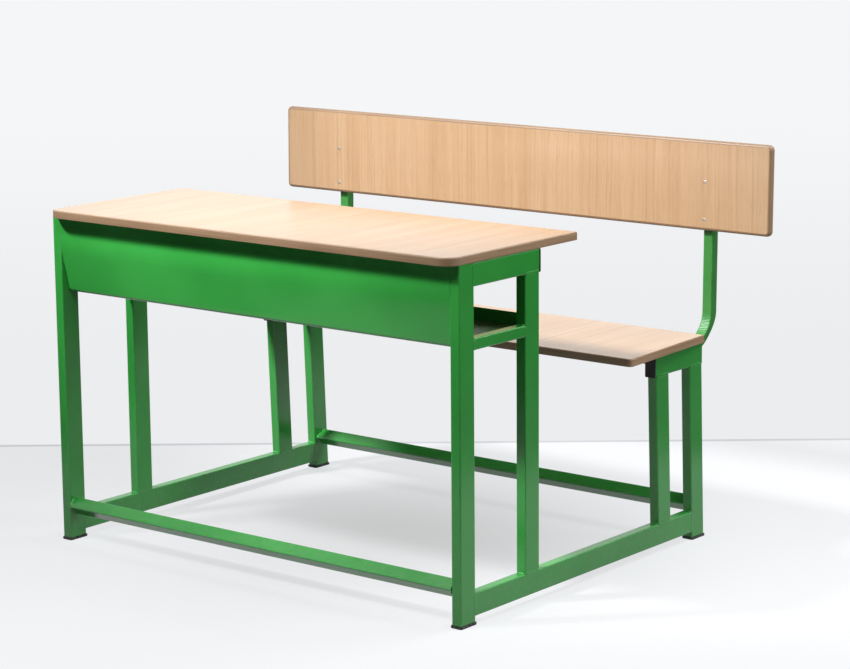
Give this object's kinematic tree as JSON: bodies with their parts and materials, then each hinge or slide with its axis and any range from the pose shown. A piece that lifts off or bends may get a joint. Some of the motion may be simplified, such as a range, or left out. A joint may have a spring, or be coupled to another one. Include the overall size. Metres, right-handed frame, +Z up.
{
  "type": "school bench",
  "caption": "School desk and bench in one: a welded steel frame with a laminated desktop over a book tray, a seat board and a backrest on bent tubes.",
  "frame": {"origin": "on the floor, at the centre of the overall box", "axes": "+X along the bench, to the right of someone who stands in front of the desk; +Y from the desk to the backrest; +Z up"},
  "size_m": [1.47, 1.0508, 0.9282],
  "materials": {
    "green_enamel": "gloss enamel",
    "beech_laminate": "satin beech laminate with bare rounded edges",
    "black_plastic": "moulded, matt",
    "zinc_steel": "zinc plated"
  },
  "bodies": {
    "root": {"front_leg_left": "green_enamel", "front_leg_right": "green_enamel", "desk_upright_left": "green_enamel", "desk_upright_right": "green_enamel", "seat_upright_left": "green_enamel", "seat_upright_right": "green_enamel", "rear_leg_left": "green_enamel", "rear_leg_right": "green_enamel", "base_rail_left": "green_enamel", "base_rail_right": "green_enamel", "desk_rail_left": "green_enamel", "desk_rail_right": "green_enamel", "shelf_rail_left": "green_enamel", "shelf_rail_right": "green_enamel", "seat_rail_left": "green_enamel", "seat_rail_right": "green_enamel", "back_tube_left": "green_enamel", "back_tube_right": "green_enamel", "footrest_bar": "green_enamel", "rear_stretcher": "green_enamel", "book_tray": "green_enamel", "desktop": "beech_laminate", "seat_board": "beech_laminate", "backrest_board": "beech_laminate", "foot_front_left": "black_plastic", "foot_front_right": "black_plastic", "foot_rear_left": "black_plastic", "foot_rear_right": "black_plastic", "desk_rail_plug_left": "black_plastic", "desk_rail_plug_right": "black_plastic", "seat_rail_plug_left": "black_plastic", "seat_rail_plug_right": "black_plastic", "back_tube_top_plug_left": "black_plastic", "back_tube_top_plug_right": "black_plastic", "back_tube_front_plug_left": "black_plastic", "back_tube_front_plug_right": "black_plastic", "backrest_screw_left_low": "zinc_steel", "backrest_screw_left_high": "zinc_steel", "desktop_screw_left_front": "zinc_steel", "seat_screw_left_front": "zinc_steel", "desktop_screw_left_rear": "zinc_steel", "seat_screw_left_rear": "zinc_steel", "backrest_screw_right_low": "zinc_steel", "backrest_screw_right_high": "zinc_steel", "desktop_screw_right_front": "zinc_steel", "seat_screw_right_front": "zinc_steel", "desktop_screw_right_rear": "zinc_steel", "seat_screw_right_rear": "zinc_steel", "tray_screw_left": "zinc_steel", "tray_screw_middle": "zinc_steel", "tray_screw_right": "zinc_steel"}
  },
  "joints": []
}
